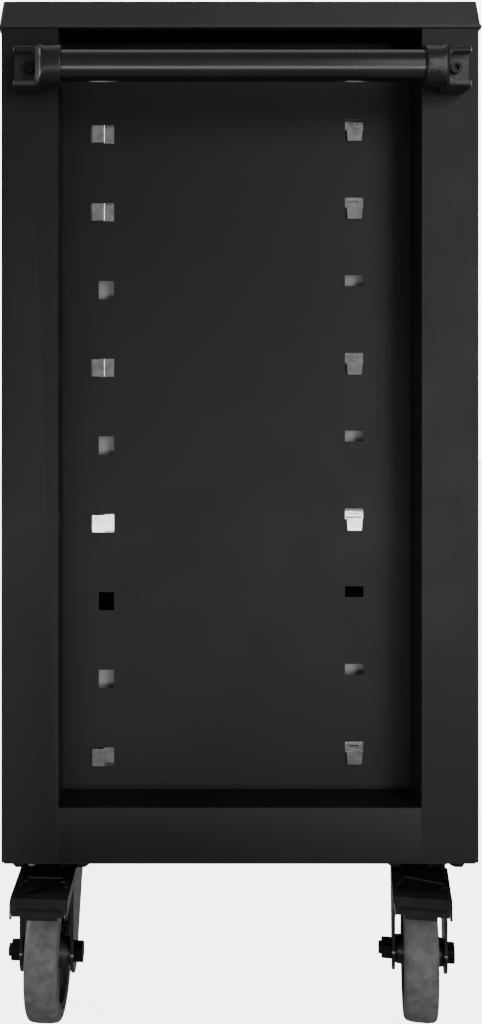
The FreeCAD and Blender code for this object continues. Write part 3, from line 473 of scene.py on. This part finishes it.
def pedal_presser(forward):
    """Sinks a panel into the pedal's nose and another into its top."""
    def press(made):
        for way, margin, depth, least, even in PEDAL_PANELS:
            facing = forward if way == "nose" else Vector((0, 0, 1))
            made.normal_update()
            panels = [face for face in made.faces
                      if face.normal.dot(facing) > FACING and face.calc_area() > least]
            if panels:
                for thickness, sink in ((margin, 0), (depth, -depth)):
                    bmesh.ops.inset_region(made, faces=panels, thickness=thickness, depth=sink,
                                           use_even_offset=even)
    return press


for joint in frame["joints"]:
    if joint["name"].startswith("swivel_wheel_spin_"):
        word = joint["name"].split("_")[-1]
        forward = Vector((joint["axis"][1], -joint["axis"][0], 0))
        finish_part(f"brake_pedal_{word}", castor_dip, "castor_black", **pressed_edges,
                    first=pedal_presser(forward))


# Wheel centres: black glass-filled nylon, moulded with a hub, a thin web and ten ribs a side.
# Tyres: dark grey solid rubber moulded round the centre, with a moulding ring in each flank.
WHEEL_STEPS = 96
CORE_SOFTNESS, TYRE_SOFTNESS = 0.0010, 0.0045
RIBS = 10
RIB_SIZE = (0.030, 0.0235, 0.0028)
RIB_OUT = 0.0305
RIB_EASE = 0.0007
NYLON_BLACK = (0.016, 0.016, 0.016, 1)
NYLON_RUBBED = (0.030, 0.030, 0.030, 1)
TYRE_GREY = (0.084, 0.084, 0.088, 1)
TYRE_DUSTY = (0.165, 0.163, 0.165, 1)
# points across the wheel and out from its axle
CORE_OUTLINE = ((-0.0230, 0.00605), (-0.0230, 0.0128), (-0.0090, 0.0150), (-0.0030, 0.0200),
                (-0.0025, 0.0410), (-0.0080, 0.0455), (-0.0152, 0.0460), (-0.0152, 0.0500),
                (0.0152, 0.0500), (0.0152, 0.0460), (0.0080, 0.0455), (0.0025, 0.0410),
                (0.0030, 0.0200), (0.0090, 0.0150), (0.0230, 0.0128), (0.0230, 0.00605))
TYRE_OUTLINE = ((-0.0160, 0.0501), (-0.0160, 0.0545), (-0.0154, 0.0550), (-0.0160, 0.0555),
                (-0.0160, 0.0612), (-0.0060, 0.0625), (0.0060, 0.0625), (0.0160, 0.0612),
                (0.0160, 0.0555), (0.0154, 0.0550), (0.0160, 0.0545), (0.0160, 0.0501))
TREAD_CORNERS = (4, 7)

nylon, tree, shader, place = new_finish("Wheel black nylon")
rubbed = tinted(tree, mottle(tree, place, 0.01, 4), NYLON_BLACK, NYLON_RUBBED)
tree.links.new(rubbed, shader.inputs["Base Color"])
tree.links.new(between(tree, mottle(tree, place, 0.004, 4), 0.30, 0.46), shader.inputs["Roughness"])
raised(tree, shader, mottle(tree, place, 0.0010, 3), 0.00005, 0.7)

tyre_rubber, tree, shader, place = new_finish("Tyre dark grey rubber")
tree.links.new(tinted(tree, mottle(tree, place, 0.009, 6), TYRE_GREY, TYRE_DUSTY, 0.3, 0.7),
               shader.inputs["Base Color"])
tree.links.new(between(tree, mottle(tree, place, 0.006, 5), 0.52, 0.74), shader.inputs["Roughness"])
grain = raised(tree, shader, mottle(tree, place, 0.0007, 3), 0.00006, 0.8)
raised(tree, shader, mottle(tree, place, 0.014, 3), 0.00030, 0.4, grain)


def turned_ring(outline, soften, corners=None):
    """An outline, its corners softened, turned all the way round the axle."""
    made = bmesh.new()
    points = [made.verts.new((0, across, out)) for across, out in outline]
    for near, far in zip(points, points[1:] + points[:1]):
        made.edges.new((near, far))
    bmesh.ops.bevel(made, geom=[points[i] for i in (corners or range(len(points)))], offset=soften,
                    offset_type="OFFSET", segments=4, profile=0.5, affect="VERTICES",
                    clamp_overlap=True, material=-1)
    bmesh.ops.spin(made, geom=made.verts[:] + made.edges[:], cent=(0, 0, 0), axis=(0, 1, 0),
                   dvec=(0, 0, 0), angle=math.tau, steps=WHEEL_STEPS, use_merge=True)
    bmesh.ops.remove_doubles(made, verts=made.verts, dist=1e-7)
    bmesh.ops.recalc_face_normals(made, faces=made.faces)
    return made


def build_wheel(joint):
    """The ribbed centre and the tyre of the wheel that turns on a joint."""
    kind, word = joint["name"].split("_wheel_spin_")
    across = Vector(joint["axis"])
    stand = Matrix.Translation(joint["pos_m"]) @ Matrix.Rotation(math.atan2(-across.x, across.y), 4, "Z")
    core = turned_ring(CORE_OUTLINE, CORE_SOFTNESS)
    for number in range(RIBS):
        turn = Matrix.Rotation(math.tau * number / RIBS, 4, "Y")
        rib = bmesh.ops.create_cube(core, size=1, matrix=turn @ Matrix.Translation((RIB_OUT, 0, 0))
                                    @ Matrix.Diagonal((*RIB_SIZE, 1)))["verts"]
        sides = [edge for edge in core.edges if edge.verts[0] in rib and edge.verts[1] in rib]
        bmesh.ops.bevel(core, geom=sides, offset=RIB_EASE, offset_type="OFFSET", segments=EDGE_STEPS,
                        profile=0.5, affect="EDGES", material=-1)
    tyre = turned_ring(TYRE_OUTLINE, TYRE_SOFTNESS, TREAD_CORNERS)
    for part, made, finish, slot in (("wheel_core", core, nylon, "wheel_core"),
                                     ("tyre", tyre, tyre_rubber, "tyre")):
        bmesh.ops.transform(made, matrix=stand, verts=made.verts)
        set_piece(f"{kind}_{part}_{word}_moulded", made, finish, joint["child"],
                  [f"{kind}_{part}_{word}"], crease=50)


for joint in frame["joints"]:
    if "_wheel_spin_" in joint["name"]:
        build_wheel(joint)


# Studio: a plain pale floor that glows a little, as a light table does, under a white sky.
# A tall soft box lights the handle end from one side, with a low strip and a weak wall in front.
# Other boxes light the front, top and back. Neither floor nor sky shows in the paint's gloss.
FLOOR_SIZE = 14.0
FLOOR_GLOW = 5.0
FLOOR_SHADE, FLOOR_LIGHT = (0.78, 0.78, 0.78, 1), (0.82, 0.82, 0.82, 1)
WHITE = (1, 1, 1, 1)
SKY_SEEN, SKY_LIT = 7.5, 0.17
LIGHT_AIM = Vector((0.30, 0, 0.55))
# name, place, size, watts
SOFT_BOXES = (("key", Vector((3.4, 1.9, 1.2)), (1.4, 2.6), 60),
              ("strip", Vector((1.9, 0, 0.16)), (2.8, 0.30), 10),
              ("wall", Vector((3.6, -0.2, 0.9)), (4.0, 3.4), 3),
              ("fill", Vector((0.0, -2.8, 1.4)), (1.6, 1.6), 60),
              ("overhead", Vector((-0.9, 0.1, 3.2)), (2.4, 2.4), 12),
              ("rim", Vector((-2.6, 1.9, 1.6)), (1.6, 1.6), 90))

made = bmesh.new()
bmesh.ops.create_grid(made, x_segments=1, y_segments=1, size=FLOOR_SIZE / 2)
floor_mesh = bpy.data.meshes.new("studio_floor")
made.to_mesh(floor_mesh)
made.free()
floor = bpy.data.objects.new("studio_floor", floor_mesh)
bpy.context.scene.collection.objects.link(floor)
floor_finish, tree, shader, place = new_finish("Studio pale floor")
tree.links.new(tinted(tree, mottle(tree, place, 0.6, 3), FLOOR_SHADE, FLOOR_LIGHT),
               shader.inputs["Base Color"])
shader.inputs["Roughness"].default_value = 0.9
shader.inputs["Emission Color"].default_value = WHITE
shader.inputs["Emission Strength"].default_value = FLOOR_GLOW
floor_mesh.materials.append(floor_finish)
floor.visible_glossy = False
floor.visible_diffuse = False

for name, spot, size, power in SOFT_BOXES:
    lamp = bpy.data.lights.new(name, "AREA")
    lamp.shape = "RECTANGLE"
    lamp.size, lamp.size_y = size
    lamp.energy = power
    holder = bpy.data.objects.new(name, lamp)
    holder.location = spot
    holder.rotation_euler = (LIGHT_AIM - spot).to_track_quat("-Z", "Y").to_euler()
    bpy.context.scene.collection.objects.link(holder)

world = bpy.data.worlds.new("Studio")
world.use_nodes = True
bpy.context.scene.world = world
sky = world.node_tree
seen = sky.nodes["Background"]
lit = sky.nodes.new("ShaderNodeBackground")
for background, strength in ((seen, SKY_SEEN), (lit, SKY_LIT)):
    background.inputs["Color"].default_value = WHITE
    background.inputs["Strength"].default_value = strength
path = sky.nodes.new("ShaderNodeLightPath")
choose = sky.nodes.new("ShaderNodeMixShader")
sky.links.new(path.outputs["Is Camera Ray"], choose.inputs[0])
sky.links.new(lit.outputs["Background"], choose.inputs[1])
sky.links.new(seen.outputs["Background"], choose.inputs[2])
sky.links.new(choose.outputs["Shader"], sky.nodes["World Output"].inputs["Surface"])


# Camera: level, square to the handle end, a little towards the front and above the middle.
# The lens is shifted back to centre the chest, so its uprights stay upright.
CAMERA_AWAY = 1.10
CAMERA_Y, CAMERA_Z = -0.078, 0.628
CAMERA_LENS, CAMERA_SENSOR = 40.15, 36
SHIFT_X, SHIFT_Y = 0.080, -0.134

eye = bpy.data.cameras.new("camera")
eye.lens = CAMERA_LENS
eye.sensor_width = CAMERA_SENSOR
eye.shift_x, eye.shift_y = SHIFT_X, SHIFT_Y
camera = bpy.data.objects.new("camera", eye)
camera.location = (post_face + CAMERA_AWAY, CAMERA_Y, CAMERA_Z)
camera.rotation_euler = (math.radians(90), 0, math.radians(90))
bpy.context.scene.collection.objects.link(camera)
bpy.context.scene.camera = camera
